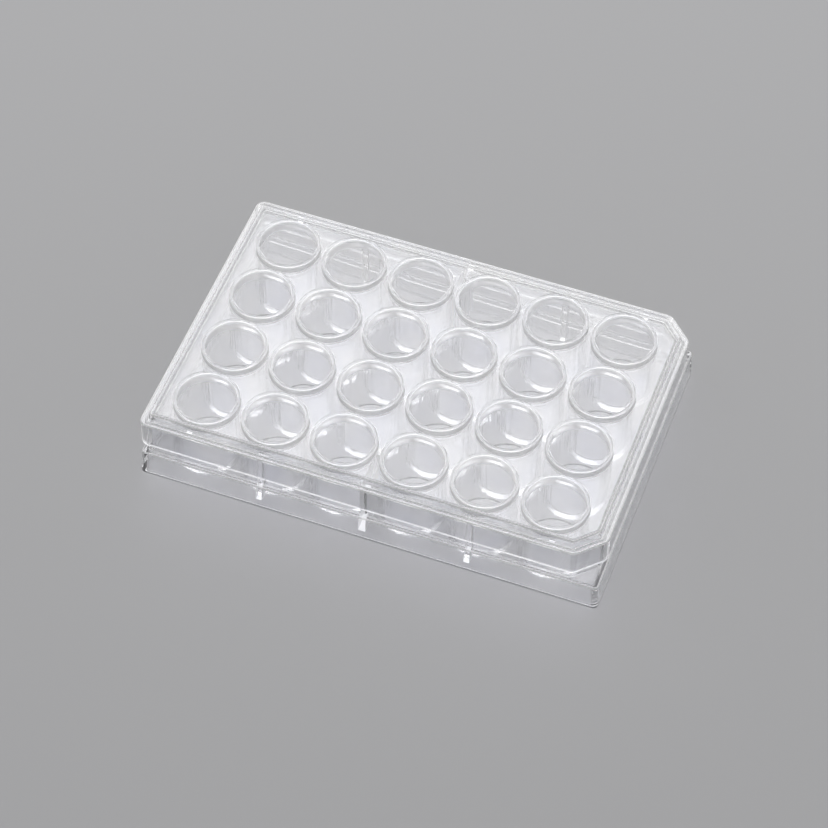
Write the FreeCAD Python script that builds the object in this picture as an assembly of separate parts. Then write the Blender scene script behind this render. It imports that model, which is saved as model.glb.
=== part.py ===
import FreeCAD, Part
import os
from math import sin, sqrt, tan

# A clear 24-well culture plate and the lid that rests on it, in millimetres.
# X runs along the columns of wells and Y along the rows, with the two cut-off corners at +X.
# Z is up, and the origin is the middle of the footprint on the table.

Vec = FreeCAD.Vector

# Wells
columns = 6
rows = 4
well_bore = 15.9  # inside diameter at the rim
well_wall = 1.0
well_depth = 17.9
well_foot = 1.0  # underside of the wells, above the table
floor_thickness = 1.3
rim_rise = 1.2  # how far the rims stand above the deck
rim_gap = 1.4  # clear gap between neighbouring rims
rim_bevel = 0.25
well_offset = -1.1  # middle of the block of wells along X, from the middle of the plate

# Shell of the plate
body_wall = 1.2
deck_thickness = 1.2
end_gap = 3.38  # from a last column of wells to the wall beside it, mean of the two ends
side_gap = 1.54  # from the last row of wells to the wall beside it
body_corner = 0.9  # plan radius of the two square corners of the body
corner_cut = 6.0  # leg of each cut-off corner of the body
cut_blend = 1.2  # plan radius where a cut-off corner meets the sides
body_draft = 0.01  # how much the body and the lid narrow per mm of height
ledge_width = 2.1
ledge_height = 8.1
ledge_thickness = 1.3
skirt_wall = 1.5
skirt_corner = 1.6  # plan radius of the four corners of the skirt
skirt_draft = 0.068
edge_round = 0.4  # rounding of the outer edges of the plate and the lid

# Webs that tie the long sides to the wells
web_count = 3
web_thickness = 1.6
middle_web_thickness = 2.0
web_step = 1.5  # pitches of the wells from one web to the next
web_foot = 2.2  # underside of the webs, above the table

# Lid
lid_wall = 1.1
lid_clearance = 0.65  # all round, between the lid and the body
lid_lift = 3.8  # from the ledge up to the bottom edge of the lid
shelf_width = 2.3
pad_height = 0.2  # pads that hold the lid off the deck, for air
pad_length = 1.5
pad_end = 12.0  # middle of the first and last pad, from the ends of the body
ring_width = 0.8
ring_height = 0.3
ring_clearance = 0.7  # between the rings under the lid and the rims

# Heights
plateau_rise = rim_rise + ring_clearance + ring_height - pad_height
floor_top = well_foot + floor_thickness
plate_height = floor_top + well_depth
deck_top = plate_height - rim_rise
deck_bottom = deck_top - deck_thickness
lid_bottom = ledge_height + lid_lift
shelf_bottom = deck_top + pad_height
shelf_top = shelf_bottom + lid_wall
plateau_bottom = shelf_bottom + plateau_rise
plateau_top = shelf_top + plateau_rise

# Plan sizes
rim_radius = well_bore / 2 + well_wall
pitch = 2 * rim_radius + rim_gap
body_length = (columns - 1) * pitch + 2 * (rim_radius + end_gap + body_wall)
body_width = (rows - 1) * pitch + 2 * (rim_radius + side_gap + body_wall)
length = body_length + 2 * ledge_width
width = body_width + 2 * ledge_width
lid_inside = lid_clearance
lid_outside = lid_inside + lid_wall
plateau_outside = lid_outside - shelf_width
plateau_inside = plateau_outside - lid_wall


def blended(corners, z):
    """Closed wire at height z. Each corner is x, y and the radius that blends it."""
    blends = []
    for i, (x, y, radius) in enumerate(corners):
        here = Vec(x, y, z)
        back = (Vec(*corners[i - 1][:2], z) - here).normalize()
        ahead = (Vec(*corners[(i + 1) % len(corners)][:2], z) - here).normalize()
        half = back.getAngle(ahead) / 2
        reach = radius / tan(half)
        middle = here + (back + ahead).normalize() * (radius / sin(half) - radius)
        blends.append((here + back * reach, middle, here + ahead * reach))
    edges = []
    for i, (start, middle, end) in enumerate(blends):
        edges.append(Part.Arc(start, middle, end).toShape())
        edges.append(Part.LineSegment(end, blends[(i + 1) % len(blends)][0]).toShape())
    return Part.Wire(edges)


def rounding(radius, out):
    """Plan radius of a corner after its outline is moved out. It never falls below half."""
    return max(radius + out, radius / 2)


def skirt_outline(grow, z):
    """The skirt's outline at height z, moved out by grow. It narrows as it rises."""
    out = grow - skirt_draft * z
    x = length / 2 + out
    y = width / 2 + out
    radius = rounding(skirt_corner, out)
    return blended([(-x, -y, radius), (x, -y, radius), (x, y, radius), (-x, y, radius)], z)


def body_outline(grow, z):
    """The body's outline at height z, moved out by grow, with the corners at +X cut off."""
    out = grow - body_draft * (z - ledge_height)
    x = body_length / 2 + out
    y = body_width / 2 + out
    cut = corner_cut + out * (2 - sqrt(2))
    corner = rounding(body_corner, out)
    blend = rounding(cut_blend, out)
    return blended(
        [
            (-x, -y, corner),
            (x - cut, -y, blend),
            (x, -y + cut, blend),
            (x, y - cut, blend),
            (x - cut, y, blend),
            (-x, y, corner),
        ],
        z,
    )


def loft(outline, grow, low, high):
    """Solid between the same outline at two heights."""
    return Part.makeLoft([outline(grow, low), outline(grow, high)], True, True)


def rounded_top(solid):
    """The solid with the edges of its top face rounded."""
    top = solid.BoundBox.ZMax
    edges = [edge for edge in solid.Edges if edge.BoundBox.ZMin > top - edge_round / 2]
    return solid.makeFillet(edge_round, edges)


def well_places():
    """Centre of each well in plan."""
    for column in range(columns):
        for row in range(rows):
            x = well_offset + (column - (columns - 1) / 2) * pitch
            yield x, (row - (rows - 1) / 2) * pitch


def turned(points, x, y):
    """Solid of revolution about a vertical axis at x, y, from a closed radius and height profile."""
    profile = Part.makePolygon([Vec(radius, 0, z) for radius, z in points + points[:1]])
    solid = Part.Face(profile).revolve(Vec(0, 0, 0), Vec(0, 0, 1), 360)
    solid.translate(Vec(x, y, 0))
    return solid


def tube(x, y):
    """Outside of one well, with a bevelled rim, closed from foot to rim."""
    profile = [
        (0, well_foot),
        (rim_radius, well_foot),
        (rim_radius, plate_height - rim_bevel),
        (rim_radius - rim_bevel, plate_height),
        (0, plate_height),
    ]
    return turned(profile, x, y)


def bore(x, y):
    """Inside of one well, from its floor up through the rim."""
    return Part.makeCylinder(well_bore / 2, well_depth, Vec(x, y, floor_top))


def webs(envelope):
    """Upright webs from both long sides to the last rows of wells, trimmed to the envelope."""
    last_row = (rows - 1) / 2 * pitch
    depth = width / 2 - last_row
    solids = []
    for i in range(web_count):
        steps = i - (web_count - 1) / 2
        thickness = web_thickness if steps else middle_web_thickness
        x = well_offset + steps * web_step * pitch - thickness / 2
        for y in (-width / 2, last_row):
            blank = Part.makeBox(thickness, depth, deck_bottom - web_foot, Vec(x, y, web_foot))
            solids.append(blank.common(envelope))
    return solids


def make_plate():
    """Skirt, ledge, body and deck as one shell, with the tubes and webs fused in."""
    ledge_bottom = ledge_height - ledge_thickness
    skirt = rounded_top(loft(skirt_outline, 0, 0, ledge_height))
    body = rounded_top(loft(body_outline, 0, ledge_bottom, deck_top))
    envelope = skirt.fuse(body)
    skirt_hollow = loft(skirt_outline, -skirt_wall, 0, ledge_bottom)
    body_hollow = loft(body_outline, -body_wall, ledge_bottom, deck_bottom)
    shell = envelope.cut([skirt_hollow, body_hollow])
    tubes = [tube(x, y) for x, y in well_places()]
    solid = shell.fuse(tubes + webs(envelope))
    solid = solid.cut([bore(x, y) for x, y in well_places()])
    return solid.removeSplitter()


def condensation_ring(x, y):
    """Low ring under the lid, above the middle of one well's rim."""
    middle = rim_radius - well_wall / 2
    top = plateau_bottom + lid_wall / 2
    outer = Part.makeCylinder(middle + ring_width / 2, top - plateau_bottom + ring_height)
    inner = Part.makeCylinder(middle - ring_width / 2, top - plateau_bottom + ring_height)
    ring = outer.cut(inner)
    ring.translate(Vec(x, y, plateau_bottom - ring_height))
    return ring


def pads():
    """Pads under the shelf of the lid, three along each long side, that rest on the deck."""
    deck_edge = body_width / 2 - body_draft * (deck_top - ledge_height)
    y_out = deck_edge - edge_round
    y_in = deck_edge + plateau_inside
    reach = body_length / 2 - pad_end
    solids = []
    for x in (-reach, 0, reach):
        for y in (-y_out, y_in):
            corner = Vec(x - pad_length / 2, y, deck_top)
            solids.append(Part.makeBox(pad_length, y_out - y_in, pad_height + lid_wall / 2, corner))
    return solids


def make_lid():
    """Thin tray turned over: side wall, shelf, raised plateau, rings and pads underneath."""
    side = rounded_top(loft(body_outline, lid_outside, lid_bottom, shelf_top))
    plateau = rounded_top(loft(body_outline, plateau_outside, shelf_bottom, plateau_top))
    side_hollow = loft(body_outline, lid_inside, lid_bottom, shelf_bottom)
    plateau_hollow = loft(body_outline, plateau_inside, shelf_bottom, plateau_bottom)
    shell = side.fuse(plateau).cut([side_hollow, plateau_hollow])
    rings = [condensation_ring(x, y) for x, y in well_places()]
    return shell.fuse(rings + pads()).removeSplitter()


os.makedirs("parts", exist_ok=True)
for name, shape in (("plate", make_plate()), ("lid", make_lid())):
    shape.exportStep("parts/" + name + ".step")
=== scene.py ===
from math import cos, pi, radians, sin, sqrt

import bmesh
import bpy
import numpy as np
from mathutils import Euler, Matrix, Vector
from mathutils.geometry import delaunay_2d_cdt


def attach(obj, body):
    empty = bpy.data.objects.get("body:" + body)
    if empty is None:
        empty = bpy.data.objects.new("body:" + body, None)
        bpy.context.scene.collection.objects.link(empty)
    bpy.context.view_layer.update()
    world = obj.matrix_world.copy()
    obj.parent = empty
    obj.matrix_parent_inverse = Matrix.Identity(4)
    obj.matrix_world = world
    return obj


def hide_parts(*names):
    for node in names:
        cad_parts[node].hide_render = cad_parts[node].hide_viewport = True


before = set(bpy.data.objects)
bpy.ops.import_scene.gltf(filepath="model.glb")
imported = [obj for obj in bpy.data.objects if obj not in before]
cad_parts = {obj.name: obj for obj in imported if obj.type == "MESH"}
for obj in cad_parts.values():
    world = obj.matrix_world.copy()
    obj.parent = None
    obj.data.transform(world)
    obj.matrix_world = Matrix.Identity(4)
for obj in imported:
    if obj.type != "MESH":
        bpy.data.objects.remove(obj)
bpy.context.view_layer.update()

scene = bpy.context.scene


# The bench: a plain pale surface, far larger than the plate, on which the plate stands.
# The room around it is white, with one large soft lamp above and behind the plate,
# and the camera looks down on the front long side.
BENCH_SIZE, BENCH_COLOUR, BENCH_ROUGHNESS = 8, (0.45, 0.45, 0.46, 1), 0.6
WHITE, ROOM_LIGHT = (1, 1, 1, 1), 0.42
LAMP_WATTS, LAMP_WIDTH, LAMP_DEPTH = 10.8, 1.6, 1.2
LAMP_PLACE = Vector((-0.25, 0.75, 1.0))
LENS, SENSOR_WIDTH, NEAREST, FARTHEST = 126.8, 36, 0.01, 20
AZIMUTH, ELEVATION, ROLL = radians(19.361), radians(51.541), radians(1.013)
TARGET, DISTANCE = Vector((-0.00229, 0.00117, 0)), 0.7891

bench_top = bpy.data.materials.new("bench_top")
bench_top.use_nodes = True
bench_shader = bench_top.node_tree.nodes["Principled BSDF"]
bench_shader.inputs["Base Color"].default_value = BENCH_COLOUR
bench_shader.inputs["Roughness"].default_value = BENCH_ROUGHNESS
bpy.ops.mesh.primitive_plane_add(size=BENCH_SIZE)
bench = bpy.context.object
bench.name = "bench"
bench.data.materials.append(bench_top)

room = bpy.data.worlds.new("room")
room.use_nodes = True
room.node_tree.nodes["Background"].inputs["Color"].default_value = WHITE
room.node_tree.nodes["Background"].inputs["Strength"].default_value = ROOM_LIGHT
scene.world = room

camera_data = bpy.data.cameras.new("camera")
camera_data.lens = LENS
camera_data.sensor_width = SENSOR_WIDTH
camera_data.clip_start = NEAREST
camera_data.clip_end = FARTHEST
camera = bpy.data.objects.new("camera", camera_data)
scene.collection.objects.link(camera)
scene.camera = camera
away = (sin(AZIMUTH) * cos(ELEVATION), -cos(AZIMUTH) * cos(ELEVATION), sin(ELEVATION))
camera.location = TARGET + Vector(away) * DISTANCE
aimed = Euler((radians(90) - ELEVATION, 0, AZIMUTH), "XYZ").to_matrix()
camera.rotation_euler = (aimed @ Euler((0, 0, ROLL)).to_matrix()).to_euler()

lamp_data = bpy.data.lights.new("soft_lamp", "AREA")
lamp_data.shape = "RECTANGLE"
lamp_data.size = LAMP_WIDTH
lamp_data.size_y = LAMP_DEPTH
lamp_data.energy = LAMP_WATTS
lamp = bpy.data.objects.new("soft_lamp", lamp_data)
scene.collection.objects.link(lamp)
lamp.location = LAMP_PLACE
lamp.rotation_euler = (-LAMP_PLACE).to_track_quat("-Z", "Y").to_euler()


# The wells: 24 open cups in 6 columns and 4 rows, moulded in one with the plate, of clear polystyrene.
# Each has a raised rim with a rounded lip, a thin straight wall and a flat floor with a small fillet.
# The mould leaves faces polished, walls drawn, undersides matt, and rims and edges soft or scuffed.
FLOW, GRAIN, DRAW_ACROSS, DRAW_ALONG = 110, 900, 750, 30  # cells of the noise in a metre
DULL_TINT, CLEAR_TINT = (0.35, (0.965, 0.968, 0.985, 1)), (0.65, (0.998, 0.998, 1, 1))
REFRACTION, RIPPLE = 1.58, 0.00001
SHADOW_TINT = (0.985, 0.985, 0.99, 1)

# From here on sizes are in millimetres, until a mesh is joined.
COLUMNS, ROWS, PITCH, BLOCK_X = 6, 4, 19.3, -1.1
BORE, RIM = 7.95, 8.95
FOOT, FLOOR, UNDERSIDE, DECK, LIP = 1.0, 2.3, 17.8, 19.0, 20.2
LIP_OUT, LIP_IN, FLOOR_ROUND, FOOT_ROUND, RIM_ROUND = 0.5, 0.4, 1.0, 0.3, 0.1
TURNS, MANY, FEW = 96, 6, 4  # steps round a well, and across a larger and a smaller rounding
SAME_POINT = 1e-7  # gap below which two points of an outline are one
WELD = 1e-6  # the same for two points of a mesh, in metres
MILLIMETRES_IN_METRE = 1000
UP, DOWN, OUT, IN = (0, 1), (0, -1), (1, 0), (-1, 0)
column, row = np.meshgrid(np.arange(COLUMNS), np.arange(ROWS), indexing="ij")
from_middle = np.stack([column - (COLUMNS - 1) / 2, row - (ROWS - 1) / 2], -1).reshape(-1, 2)
centres = from_middle * PITCH + (BLOCK_X, 0)


def mould_marks():
    """Node group of the traces that the mould leaves, worked out from where a point lies on the piece.
    The tint goes between two near whites with the flow of the melt. The roughness is the given one plus
    spread times a fine noise about zero. The normal follows a height of broad flow ripples plus upright
    draw marks, each given in metres from trough to crest."""
    group = bpy.data.node_groups.new("mould_marks", "ShaderNodeTree")
    for name in ("Roughness", "Spread", "Ripple", "Draw"):
        group.interface.new_socket(name, in_out="INPUT", socket_type="NodeSocketFloat")
    group.interface.new_socket("Tint", in_out="OUTPUT", socket_type="NodeSocketColor")
    group.interface.new_socket("Roughness", in_out="OUTPUT", socket_type="NodeSocketFloat")
    group.interface.new_socket("Normal", in_out="OUTPUT", socket_type="NodeSocketVector")
    nodes, links = group.nodes, group.links
    given, result = nodes.new("NodeGroupInput"), nodes.new("NodeGroupOutput")
    place = nodes.new("ShaderNodeTexCoord").outputs["Object"]

    def noise(across, along, detail):
        mapping = nodes.new("ShaderNodeMapping")
        mapping.inputs["Scale"].default_value = (across, across, along)
        texture = nodes.new("ShaderNodeTexNoise")
        texture.inputs["Scale"].default_value = 1
        texture.inputs["Detail"].default_value = detail
        links.new(place, mapping.inputs["Vector"])
        links.new(mapping.outputs["Vector"], texture.inputs["Vector"])
        return texture.outputs["Fac"]

    def combined(operation, *values):
        node = nodes.new("ShaderNodeMath")
        node.operation = operation
        for socket, value in zip(node.inputs, values):
            if isinstance(value, (int, float)):
                socket.default_value = value
            else:
                links.new(value, socket)
        return node.outputs["Value"]

    flow = noise(FLOW, FLOW, detail=2)
    grain = combined("SUBTRACT", noise(GRAIN, GRAIN, detail=3), 0.5)
    marks = noise(DRAW_ACROSS, DRAW_ALONG, detail=2)
    tint = nodes.new("ShaderNodeValToRGB")
    for stop, (position, colour) in zip(tint.color_ramp.elements, (DULL_TINT, CLEAR_TINT)):
        stop.position = position
        stop.color = colour
    roughness = combined("MULTIPLY_ADD", grain, given.outputs["Spread"], given.outputs["Roughness"])
    ripples = combined("MULTIPLY", flow, given.outputs["Ripple"])
    height = combined("MULTIPLY_ADD", marks, given.outputs["Draw"], ripples)
    bump = nodes.new("ShaderNodeBump")
    bump.inputs["Distance"].default_value = 1
    links.new(flow, tint.inputs["Fac"])
    links.new(height, bump.inputs["Height"])
    links.new(tint.outputs["Color"], result.inputs["Tint"])
    links.new(roughness, result.inputs["Roughness"])
    links.new(bump.outputs["Normal"], result.inputs["Normal"])
    return group


def clear_plastic(name, roughness, spread, draw=0, clarity=0.985):
    """Clear polystyrene that bends light at both of its faces and lets lamplight through in its shadow."""
    material = bpy.data.materials.new(name)
    material.use_nodes = True
    nodes, links = material.node_tree.nodes, material.node_tree.links
    shader = nodes["Principled BSDF"]
    shader.inputs["IOR"].default_value = REFRACTION
    shader.inputs["Transmission Weight"].default_value = clarity
    marks = nodes.new("ShaderNodeGroup")
    marks.node_tree = mould
    marks.inputs["Roughness"].default_value = roughness
    marks.inputs["Spread"].default_value = spread
    marks.inputs["Ripple"].default_value = RIPPLE
    marks.inputs["Draw"].default_value = draw
    links.new(marks.outputs["Tint"], shader.inputs["Base Color"])
    links.new(marks.outputs["Roughness"], shader.inputs["Roughness"])
    links.new(marks.outputs["Normal"], shader.inputs["Normal"])
    let_through = nodes.new("ShaderNodeBsdfTransparent")
    let_through.inputs["Color"].default_value = SHADOW_TINT
    mix = nodes.new("ShaderNodeMixShader")
    links.new(nodes.new("ShaderNodeLightPath").outputs["Is Shadow Ray"], mix.inputs["Fac"])
    links.new(shader.outputs["BSDF"], mix.inputs[1])
    links.new(let_through.outputs["BSDF"], mix.inputs[2])
    links.new(mix.outputs["Shader"], nodes["Material Output"].inputs["Surface"])
    return material


mould = mould_marks()
polished = clear_plastic("polished_polystyrene", roughness=0.03, spread=0.03)
drawn = clear_plastic("drawn_polystyrene", roughness=0.08, spread=0.05, draw=0.00015)
matt = clear_plastic("matt_polystyrene", roughness=0.16, spread=0.08, draw=0.00001)
softened = clear_plastic("softened_polystyrene", roughness=0.4, spread=0.1, clarity=0.9)
scuffed = clear_plastic("scuffed_polystyrene", roughness=0.3, spread=0.15, clarity=0.4)
frosted = clear_plastic("frosted_polystyrene", roughness=0.3, spread=0.1, draw=0.00002, clarity=0.2)
finishes = (polished, drawn, matt, softened, scuffed, frosted)


def eased(corner, before, after, radius, steps=MANY):
    """Points of a quarter turn about a corner of a profile, from its side "before" to its side "after".
    Each is corner + radius (before (1 - sin t) + after (1 - cos t)), with t from 0 to 90 degrees."""
    t = np.linspace(0, pi / 2, steps + 1)[:, None]
    step = np.array(before) * (1 - np.sin(t)) + np.array(after) * (1 - np.cos(t))
    return np.array(corner) + radius * step


def stretches(*path):
    """A profile split into stretches, each a finish and its points. Each starts where the last one ends."""
    split, last = [], np.empty((0, 2))
    for finish, *parts in path:
        points = np.concatenate([last, *parts])
        split.append((finish, points))
        last = points[-1:]
    return split


def turned(profile, places):
    """Rings of a profile of radius and height, turned about an upright axis at each place.
    A point is place + radius * (cos a, sin a) at its height; a ring ends where the profile ends."""
    a = np.arange(TURNS) * 2 * pi / TURNS
    radius, height = profile[:, 0, None], profile[:, 1, None]
    ring = np.stack([radius * np.cos(a), radius * np.sin(a), height + 0 * a], -1)
    shift = np.concatenate([places, np.zeros((len(places), 1))], 1)
    return ring[None] + shift[:, None, None]


def strips(grid):
    """Vertices and four-sided faces of a grid of rings, each ring closed on itself."""
    rings, around = grid.shape[:2]
    index = np.arange(rings * around).reshape(rings, around)
    after = np.roll(index, -1, axis=1)
    faces = np.stack([index[:-1], after[:-1], after[1:], index[1:]], -1)
    return grid.reshape(-1, 3), faces.reshape(-1, 4)


def disc(ring):
    """One many-sided face on a ring."""
    return ring, np.arange(len(ring))[None]


def inside(points, outline):
    """True for each point within a closed outline, where a level line from the point crosses the outline
    an odd number of times."""
    x, y = points[:, :1], points[:, 1:2]
    x1, y1 = outline[:, 0], outline[:, 1]
    x2, y2 = np.roll(x1, -1), np.roll(y1, -1)
    spans = (y1 > y) != (y2 > y)
    run = np.where(y2 == y1, 1, y2 - y1)
    return (spans & (x < x1 + (x2 - x1) * (y - y1) / run)).sum(1) % 2 == 1


def flat(outer, holes, height):
    """Triangles of a level sheet at one height: all within the outer outline and outside the holes."""
    loops = [outer, *holes]
    points = np.concatenate(loops)
    edges, first = [], 0
    for loop in loops:
        n = np.arange(len(loop))
        edges += np.stack([first + n, first + (n + 1) % len(loop)], 1).tolist()
        first += len(loop)
    verts, _, faces, _, _, _ = delaunay_2d_cdt(points.tolist(), edges, [], 0, SAME_POINT)
    verts, faces = np.array(verts), np.array(faces)
    middle = verts[faces].mean(1)
    keep = inside(middle, outer)
    for hole in holes:
        keep &= ~inside(middle, hole)
    return np.insert(verts, 2, height, axis=1), faces[keep]


def joined(name, patches):
    """One closed mesh from patches, each a finish with its vertices in millimetres and its faces,
    welded along their rims."""
    verts, faces, finish, first = [], [], [], 0
    for material, (points, polygons) in patches:
        verts.append(points)
        faces += (polygons + first).tolist()
        finish += [finishes.index(material)] * len(polygons)
        first += len(points)
    mesh = bpy.data.meshes.new(name)
    mesh.from_pydata(np.concatenate(verts) / MILLIMETRES_IN_METRE, [], faces)
    for material in finishes:
        mesh.materials.append(material)
    mesh.polygons.foreach_set("material_index", finish)
    work = bmesh.new()
    work.from_mesh(mesh)
    bmesh.ops.remove_doubles(work, verts=work.verts, dist=WELD)
    bmesh.ops.recalc_face_normals(work, faces=work.faces)
    work.to_mesh(mesh)
    work.free()
    piece = bpy.data.objects.new(name, mesh)
    scene.collection.objects.link(piece)
    return piece


def bottomed(profile):
    """Patches of a turned profile at every well's place, closed at its last ring by a polished disc."""
    made = [(finish, strips(grid)) for finish, points in profile for grid in turned(points, centres)]
    return made + [(polished, disc(grid[-1])) for grid in turned(profile[-1][1], centres)]


def circles(radius):
    """A level circle about every well's place."""
    return list(turned(np.array([(radius, 0)]), centres)[:, 0, :, :2])


cup_inside = stretches(
    (
        softened,
        eased((RIM, DECK), OUT, UP, RIM_ROUND, FEW),
        eased((RIM, LIP), DOWN, IN, LIP_OUT),
        eased((BORE, LIP), OUT, DOWN, LIP_IN),
        [(BORE, UNDERSIDE)],
    ),
    (drawn, eased((BORE, FLOOR), UP, IN, FLOOR_ROUND)),
)
cup_outside = stretches((drawn, [(RIM, UNDERSIDE)], eased((RIM, FOOT), UP, IN, FOOT_ROUND)))
plate_patches = bottomed(cup_inside) + bottomed(cup_outside)


# The body and the skirt: the outer shell of the same moulding. The body has two corners cut off at
# one end. The wider skirt below it carries the ledge and stands on the table on its bottom edge.
BODY_X, BODY_Y, BODY_CORNER, CUT, CUT_BLEND, BODY_DRAFT = 61.78, 40.64, 0.9, 6.0, 1.2, 0.01
SKIRT_X, SKIRT_Y, SKIRT_CORNER, SKIRT_DRAFT = 63.88, 42.74, 1.6, 0.068
LEDGE, LEDGE_UNDER, BODY_WALL, SKIRT_WALL, EDGE_ROUND, ROUND = 8.1, 6.8, 1.2, 1.5, 0.4, 0.3
ARC = 10  # steps round each corner of an outline


def blended(corners):
    """Closed outline with each corner (x, y, radius) rounded, anticlockwise. An arc's centre is on the
    corner's bisector at radius / sin(half angle), and its points turn evenly about it."""
    place, radius = np.array(corners)[:, :2], np.array(corners)[:, 2:]
    toward = [np.roll(place, shift, axis=0) - place for shift in (1, -1)]
    before, after = (d / np.linalg.norm(d, axis=1, keepdims=True) for d in toward)
    half = np.arccos((before * after).sum(1, keepdims=True)) / 2
    bisector = (before + after) / np.linalg.norm(before + after, axis=1, keepdims=True)
    centre = place + bisector * radius / np.sin(half)
    arm = place + before * radius / np.tan(half) - centre
    turn = np.linspace(0, 1, ARC + 1) * (pi - 2 * half)
    x = arm[:, :1] * np.cos(turn) - arm[:, 1:] * np.sin(turn)
    y = arm[:, :1] * np.sin(turn) + arm[:, 1:] * np.cos(turn)
    return (centre[:, None] + np.stack([x, y], -1)).reshape(-1, 2)


def skirt_outline(grow, z):
    """Outline of the skirt at height z, moved out by grow: a rounded rectangle that narrows as it rises."""
    out = grow - SKIRT_DRAFT * z
    x, y, r = SKIRT_X + out, SKIRT_Y + out, max(SKIRT_CORNER + out, SKIRT_CORNER / 2)
    return blended([(-x, -y, r), (x, -y, r), (x, y, r), (-x, y, r)])


def body_outline(grow, z):
    """Outline of the body at height z, moved out by grow: a rectangle that narrows a little as it rises,
    with two corners rounded and two cut off."""
    out = grow - BODY_DRAFT * (z - LEDGE)
    x, y, r = BODY_X + out, BODY_Y + out, max(BODY_CORNER + out, BODY_CORNER / 2)
    cut, blend = CUT + out * (2 - sqrt(2)), max(CUT_BLEND + out, CUT_BLEND / 2)
    cut_off = [(x - cut, -y, blend), (x, cut - y, blend), (x, y - cut, blend), (x - cut, y, blend)]
    return blended([(-x, -y, r), *cut_off, (-x, y, r)])


def carried(outline, path):
    """Patches of one outline carried along a path of (grow, height), one for each stretch of the path."""
    made = []
    for finish, points in path:
        rings = [np.insert(outline(grow, z), 2, z, axis=1) for grow, z in points]
        made.append((finish, strips(np.array(rings))))
    return made


body_side = stretches(
    (scuffed, eased((0, DECK), IN, DOWN, EDGE_ROUND)),
    (polished, eased((0, LEDGE), UP, OUT, ROUND, FEW)),
)
skirt_side = stretches(
    (scuffed, eased((0, LEDGE), IN, DOWN, EDGE_ROUND)),
    (polished, [(0, ROUND)]),
    (scuffed, eased((0, 0), UP, IN, ROUND, FEW), eased((-SKIRT_WALL, 0), OUT, UP, ROUND, FEW)),
    (matt, eased((-SKIRT_WALL, LEDGE_UNDER), DOWN, IN, ROUND, FEW)),
)
body_inside = stretches(
    (
        matt,
        eased((-BODY_WALL, LEDGE_UNDER), OUT, UP, ROUND, FEW),
        eased((-BODY_WALL, UNDERSIDE), DOWN, IN, ROUND, FEW),
    ),
)
deck_edge = body_outline(-EDGE_ROUND, DECK)
ledge_out, ledge_in = skirt_outline(-EDGE_ROUND, LEDGE), body_outline(ROUND, LEDGE)
under_out = skirt_outline(-SKIRT_WALL - ROUND, LEDGE_UNDER)
under_in = body_outline(-BODY_WALL + ROUND, LEDGE_UNDER)
underside_edge = body_outline(-BODY_WALL - ROUND, UNDERSIDE)
plate_patches += carried(body_outline, body_side)
plate_patches += carried(skirt_outline, skirt_side)
plate_patches += carried(body_outline, body_inside)
plate_patches += [
    (polished, flat(deck_edge, circles(RIM + RIM_ROUND), DECK)),
    (polished, flat(ledge_out, [ledge_in], LEDGE)),
    (matt, flat(under_out, [under_in], LEDGE_UNDER)),
    (matt, flat(underside_edge, circles(RIM), UNDERSIDE)),
]
plate = joined("plate_clear", plate_patches)


# The webs: six upright ribs under the deck, three on each long side, moulded in with the plate.
# Each ties the long wall to the nearest well, so that the skirt doesn't bow. The middle ones are thicker.
WEB_FOOT, WEB_TOP, WEB_HALF, MIDDLE_WEB_HALF, WEB_STEP = 2.2, (UNDERSIDE + DECK) / 2, 0.8, 1.0, 1.5
MID_WALL = (BORE + RIM) / 2
CREASE, WIDE_FACES_LEAD = radians(32), 100


def web(middle, half, side):
    """Closed prism across one web, from the middle of the long wall to the middle of the well's wall.
    Its inner edge is where a circle of the wall's middle radius, about the nearest well, meets each face
    of the web, or the row's centre line where the face passes beside the well."""
    well_x, well_y = min(centres, key=lambda c: abs(c[0] - middle) - side * c[1])
    x = np.array([[middle - half], [middle + half]])
    inner = side * well_y + np.sqrt(np.maximum(MID_WALL**2 - (x - well_x) ** 2, 0))
    shelf_z = (LEDGE + LEDGE_UNDER) / 2
    skirt_y = SKIRT_Y - SKIRT_WALL / 2 - SKIRT_DRAFT * np.array([WEB_FOOT, shelf_z])
    body_y = BODY_Y - BODY_WALL / 2
    outer = np.tile([*skirt_y, body_y, body_y], (2, 1))
    y = side * np.concatenate([outer, inner, inner], 1)
    z = np.array([WEB_FOOT, shelf_z, shelf_z, WEB_TOP, WEB_TOP, WEB_FOOT])
    grid = np.stack(np.broadcast_arrays(x, y, z), -1)
    return [(frosted, strips(grid)), (frosted, disc(grid[0])), (frosted, disc(grid[1]))]


def fused(piece, added):
    """The piece with the added closed shapes made one with it, and the shapes themselves gone."""
    union = piece.modifiers.new("union", "BOOLEAN")
    union.operation = "UNION"
    union.solver = "EXACT"
    union.object = added
    bpy.context.view_layer.objects.active = piece
    bpy.ops.object.modifier_apply(modifier=union.name)
    bpy.data.objects.remove(added)


def shaded(piece):
    """Smooth shading with creases kept, where wide faces lead the narrow ones, so level sheets stay flat."""
    piece.data.shade_smooth()
    piece.data.set_sharp_from_angle(angle=CREASE)
    lead = piece.modifiers.new("lead", "WEIGHTED_NORMAL")
    lead.keep_sharp = True
    lead.weight = WIDE_FACES_LEAD
    bpy.context.view_layer.objects.active = piece
    bpy.ops.object.modifier_apply(modifier=lead.name)


web_patches = []
for steps, half in ((-WEB_STEP, WEB_HALF), (0, MIDDLE_WEB_HALF), (WEB_STEP, WEB_HALF)):
    for side in (-1, 1):
        web_patches += web(BLOCK_X + steps * PITCH, half, side)
fused(plate, joined("webs", web_patches))
shaded(plate)
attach(plate, "root")
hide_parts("plate")


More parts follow.
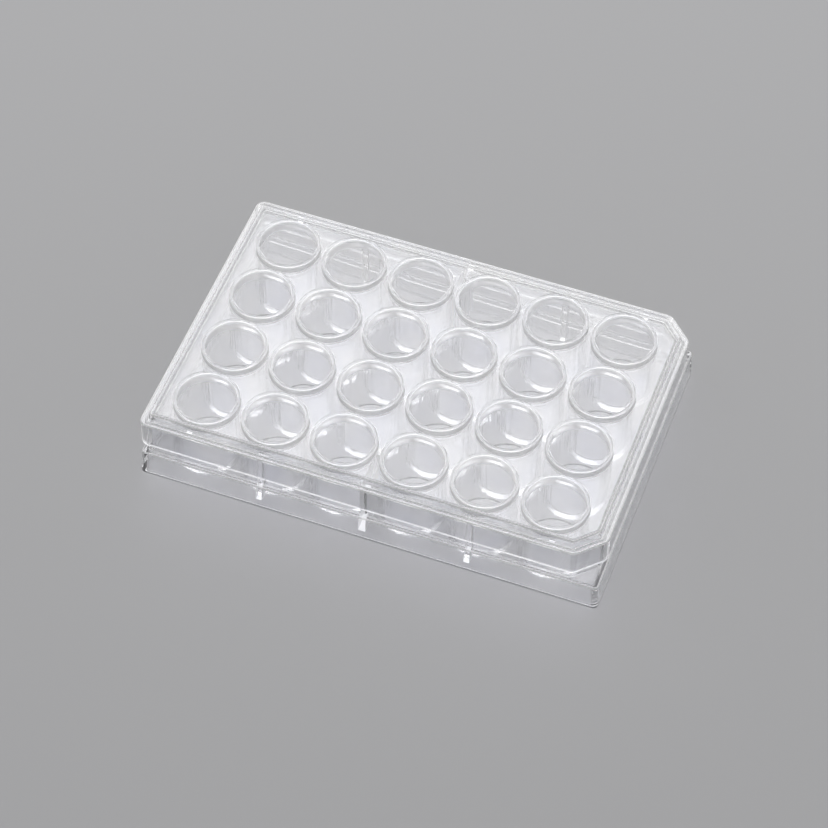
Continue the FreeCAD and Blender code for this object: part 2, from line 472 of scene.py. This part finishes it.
# The lid: a thin tray turned over, of the same clear plastic. Its side wall hangs over the body, a shelf
# runs round inside the edge, and the raised plateau over the wells carries a low ring above each rim.
LID_WALL, LID_GAP, LID_BOTTOM, SHELF, TOP = 1.1, 0.65, 11.9, 20.3, 22.3
SHELF_WIDTH, LID_ROUND = 2.3, 0.25
LID_OUT = LID_GAP + LID_WALL
PLATEAU_OUT = LID_OUT - SHELF_WIDTH
PLATEAU_IN = PLATEAU_OUT - LID_WALL
PLATEAU_UNDER, SHELF_UNDER = TOP - LID_WALL, SHELF - LID_WALL
RING_OUT, RING_IN, RING_DROP, RING_ROUND = 8.85, 8.05, 0.3, 0.15
RING_FOOT = PLATEAU_UNDER - RING_DROP

lid_side = stretches(
    (scuffed, eased((PLATEAU_OUT, TOP), IN, DOWN, EDGE_ROUND)),
    (polished, eased((PLATEAU_OUT, SHELF), UP, OUT, ROUND), [(LID_OUT - EDGE_ROUND, SHELF)]),
    (scuffed, eased((LID_OUT, SHELF), IN, DOWN, EDGE_ROUND)),
    (polished, [(LID_OUT, LID_BOTTOM + LID_ROUND)]),
    (
        scuffed,
        eased((LID_OUT, LID_BOTTOM), UP, IN, LID_ROUND, FEW),
        eased((LID_GAP, LID_BOTTOM), OUT, UP, LID_ROUND, FEW),
    ),
    (
        polished,
        eased((LID_GAP, SHELF_UNDER), DOWN, IN, ROUND, FEW),
        eased((PLATEAU_IN, SHELF_UNDER), OUT, UP, ROUND, FEW),
        eased((PLATEAU_IN, PLATEAU_UNDER), DOWN, IN, ROUND, FEW),
    ),
)
ring_profile = stretches(
    (
        polished,
        [(RING_OUT, PLATEAU_UNDER)],
        eased((RING_OUT, RING_FOOT), UP, IN, RING_ROUND, FEW),
        eased((RING_IN, RING_FOOT), OUT, UP, RING_ROUND, FEW),
        [(RING_IN, PLATEAU_UNDER)],
    )
)
plateau_edge = body_outline(PLATEAU_OUT - EDGE_ROUND, TOP)
under_plateau = body_outline(PLATEAU_IN - ROUND, PLATEAU_UNDER)
lid_patches = carried(body_outline, lid_side) + bottomed(ring_profile)
lid_patches += [
    (polished, disc(np.insert(plateau_edge, 2, TOP, axis=1))),
    (polished, flat(under_plateau, circles(RING_OUT), PLATEAU_UNDER)),
]
lid = joined("lid_clear", lid_patches)


# The pads: six small flats under the lid's shelf, three along each long side, moulded in with the lid.
# The lid rests on the deck on them, so that air gets in.
PAD_HALF, PAD_IN, PAD_OUT, PAD_MIDDLE = 0.75, 38.88, 40.13, 49.78
PAD_TOP = SHELF_UNDER + LID_WALL / 2
pad_patches = []
for x in (-PAD_MIDDLE, 0, PAD_MIDDLE):
    for side in (-1, 1):
        left, right, near, far = x - PAD_HALF, x + PAD_HALF, side * PAD_IN, side * PAD_OUT
        plan = [(left, near), (right, near), (right, far), (left, far)]
        grid = np.array([np.insert(np.array(plan), 2, z, axis=1) for z in (DECK, PAD_TOP)])
        pad_patches += [(softened, strips(grid)), (softened, disc(grid[0])), (softened, disc(grid[1]))]
fused(lid, joined("pads", pad_patches))
shaded(lid)
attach(lid, "root")
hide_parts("lid")


# The picture: plain standard colours, and enough bounces for light to get through all the clear walls
# that lie behind one another.
scene.view_settings.view_transform = "Standard"
scene.cycles.max_bounces = 32
scene.cycles.transmission_bounces = 32
scene.cycles.glossy_bounces = 12
scene.cycles.diffuse_bounces = 5
scene.cycles.transparent_max_bounces = 48
scene.cycles.use_denoising = True
